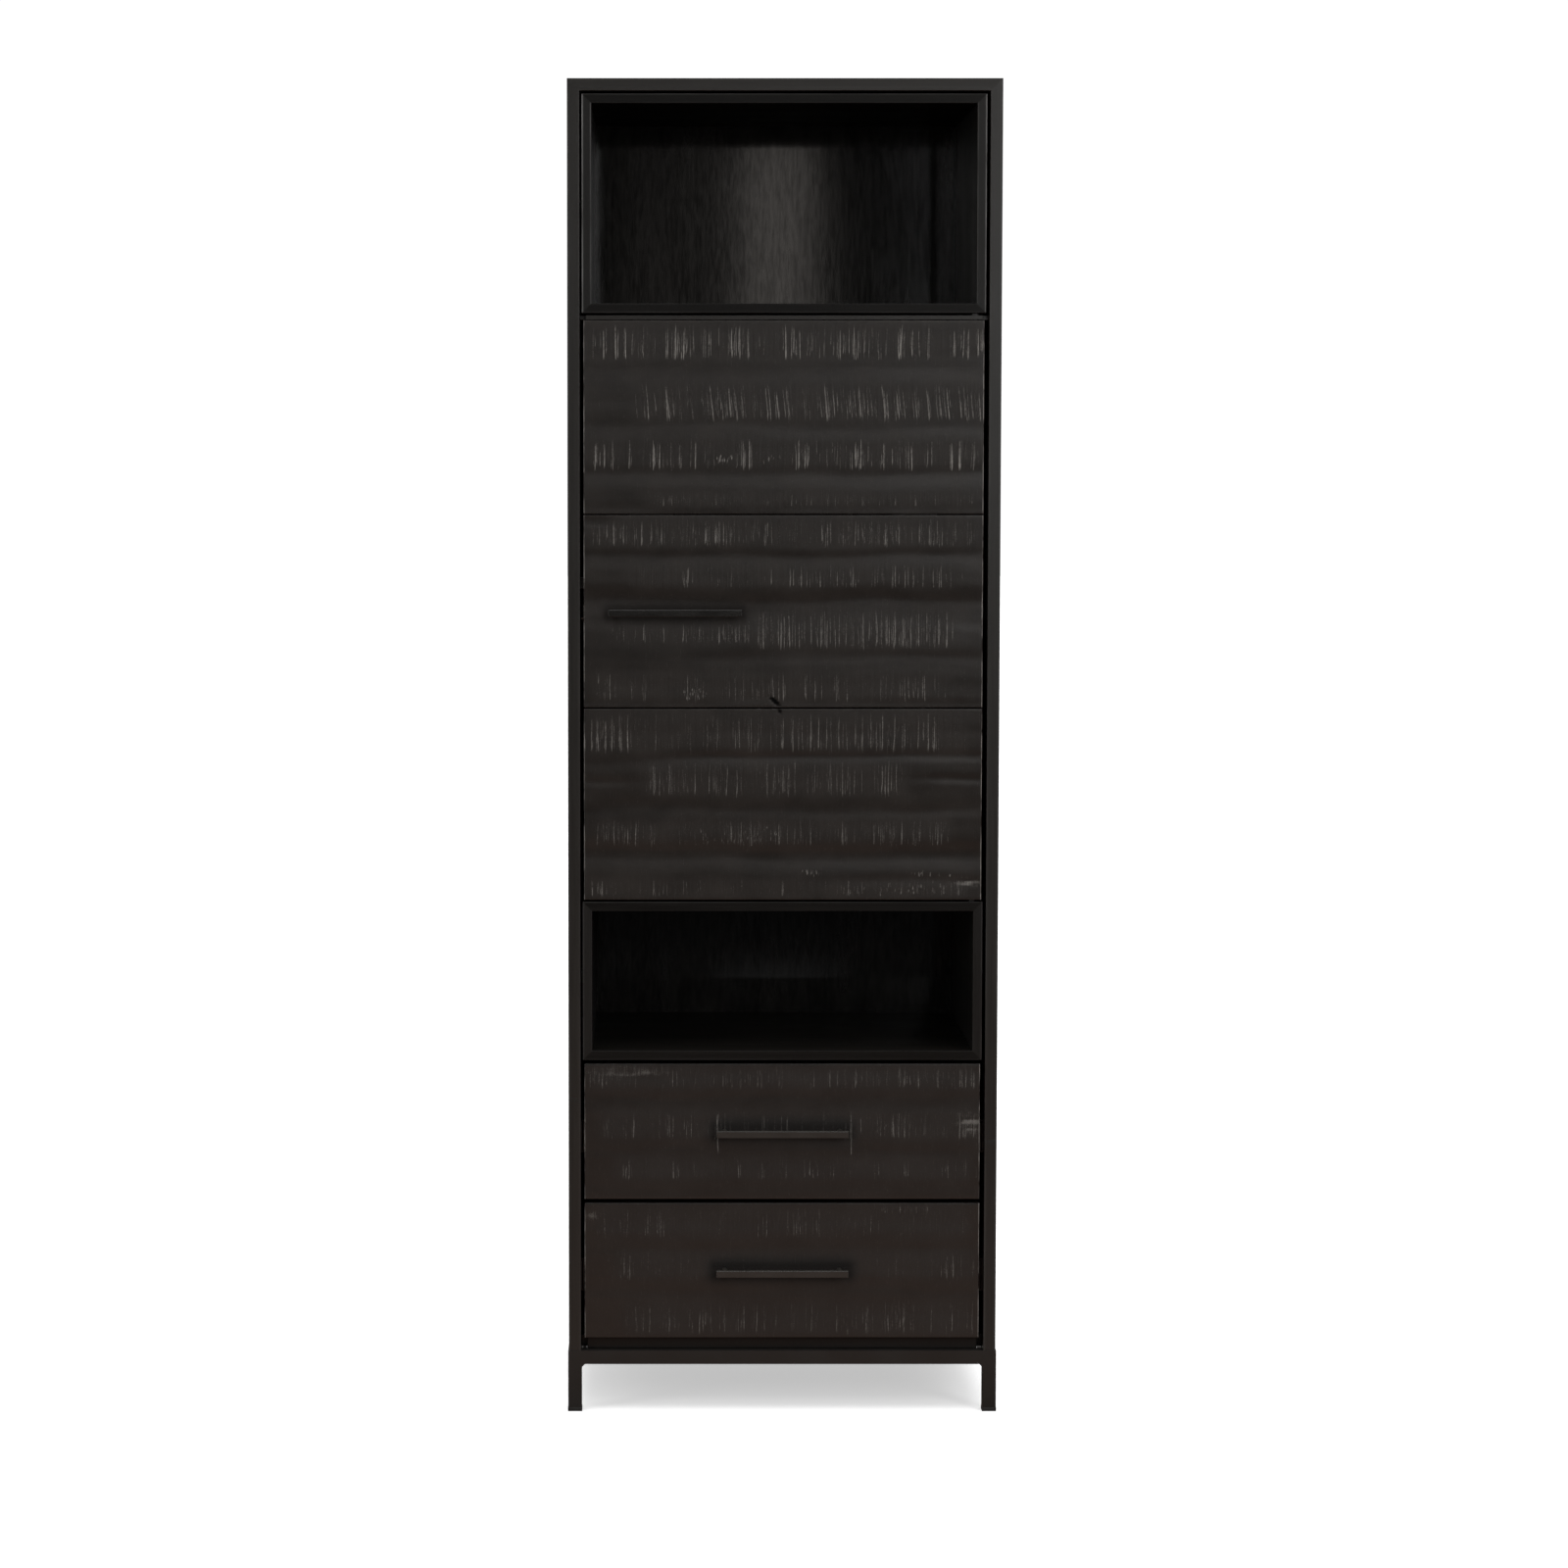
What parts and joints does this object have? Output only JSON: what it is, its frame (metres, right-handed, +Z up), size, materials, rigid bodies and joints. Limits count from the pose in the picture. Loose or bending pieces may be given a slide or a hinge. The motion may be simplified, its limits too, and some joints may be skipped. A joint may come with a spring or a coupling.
{
  "type": "tall storage cabinet",
  "caption": "Tall narrow storage cabinet on a square-tube leg frame, with open niches, a plank door hinged on the right and plank-fronted drawers on telescopic runners.",
  "frame": {"origin": "on the floor, under the middle of the outer box (handles included)", "axes": "+Z up, front faces -Y, +X to the viewer's right when facing the front"},
  "size_m": [0.6, 0.4264, 1.85],
  "materials": {
    "black_case": "black satin lacquer on panel board, soft arrises",
    "sawn_front": "rough-sawn boards stained nearly black, satin, lighter grey strokes",
    "niche_lining": "black satin lining with fine upright grain",
    "drawer_box": "dark stained plywood",
    "frame_steel": "black powder-coated square tube",
    "handle_black": "black satin bar handle",
    "bright_steel": "zinc-plated steel",
    "runner_black": "black electro-coated sheet steel",
    "screw_black": "black zinc screws",
    "black_plastic": "black moulded plastic",
    "bush_brass": "turned brass"
  },
  "bodies": {
    "cabinet": {"side_panel_left": "black_case", "side_panel_right": "black_case", "top_panel": "black_case", "bottom_panel": "black_case", "back_panel": "niche_lining", "upper_divider": "black_case", "cupboard_shelf": "black_case", "upper_niche_top": "niche_lining", "upper_niche_bottom": "niche_lining", "upper_niche_left": "niche_lining", "upper_niche_right": "niche_lining", "lower_niche_top": "niche_lining", "lower_niche_bottom": "niche_lining", "lower_niche_left": "niche_lining", "lower_niche_right": "niche_lining", "base_rail_front": "frame_steel", "base_rail_back": "frame_steel", "base_rail_left": "frame_steel", "base_rail_right": "frame_steel", "leg_front_left": "frame_steel", "leg_front_right": "frame_steel", "leg_back_left": "frame_steel", "leg_back_right": "frame_steel", "foot_caps": "black_plastic", "base_screws": "screw_black", "niche_screws": "screw_black", "niche_spacers": "black_plastic", "shelf_pins": "bright_steel", "door_catch": "black_plastic", "hinge_pins": "screw_black", "upper_drawer_runner_outers": "runner_black", "lower_drawer_runner_outers": "runner_black"},
    "door": {"door_board_top": "sawn_front", "door_board_middle": "sawn_front", "door_board_bottom": "sawn_front", "door_batten_left": "black_case", "door_batten_right": "black_case", "door_handle": "handle_black", "door_handle_screws": "screw_black", "batten_screws": "screw_black", "hinge_bushes": "bush_brass", "door_strike_plate": "bright_steel"},
    "upper_drawer": {"upper_drawer_front": "sawn_front", "upper_drawer_left": "drawer_box", "upper_drawer_right": "drawer_box", "upper_drawer_back": "drawer_box", "upper_drawer_floor": "drawer_box", "upper_drawer_handle": "handle_black", "upper_drawer_handle_screws": "screw_black", "upper_drawer_runner_inners": "runner_black"},
    "upper_drawer_runner_middles": {"upper_drawer_runner_middles": "runner_black"},
    "lower_drawer": {"lower_drawer_front": "sawn_front", "lower_drawer_left": "drawer_box", "lower_drawer_right": "drawer_box", "lower_drawer_back": "drawer_box", "lower_drawer_floor": "drawer_box", "lower_drawer_handle": "handle_black", "lower_drawer_handle_screws": "screw_black", "lower_drawer_runner_inners": "runner_black"},
    "lower_drawer_runner_middles": {"lower_drawer_runner_middles": "runner_black"}
  },
  "joints": [
    {"name": "door_swing", "type": "hinge", "parent": "cabinet", "child": "door", "pos_m": [0.2627, -0.17525, 1.1205], "axis": [0, 0, 1], "range_deg": [0, 105]},
    {"name": "upper_drawer_slide", "type": "slide", "parent": "cabinet", "child": "upper_drawer", "axis": [0, -1, 0], "range_m": [0, 0.3]},
    {"name": "upper_drawer_runner_slide", "type": "slide", "parent": "cabinet", "child": "upper_drawer_runner_middles", "axis": [0, -1, 0], "range_m": [0, 0.15]},
    {"name": "lower_drawer_slide", "type": "slide", "parent": "cabinet", "child": "lower_drawer", "axis": [0, -1, 0], "range_m": [0, 0.3]},
    {"name": "lower_drawer_runner_slide", "type": "slide", "parent": "cabinet", "child": "lower_drawer_runner_middles", "axis": [0, -1, 0], "range_m": [0, 0.15]}
  ],
  "couplings": [
    {"joint": "upper_drawer_runner_slide", "follows": "upper_drawer_slide", "ratio": 0.5},
    {"joint": "lower_drawer_runner_slide", "follows": "lower_drawer_slide", "ratio": 0.5}
  ]
}
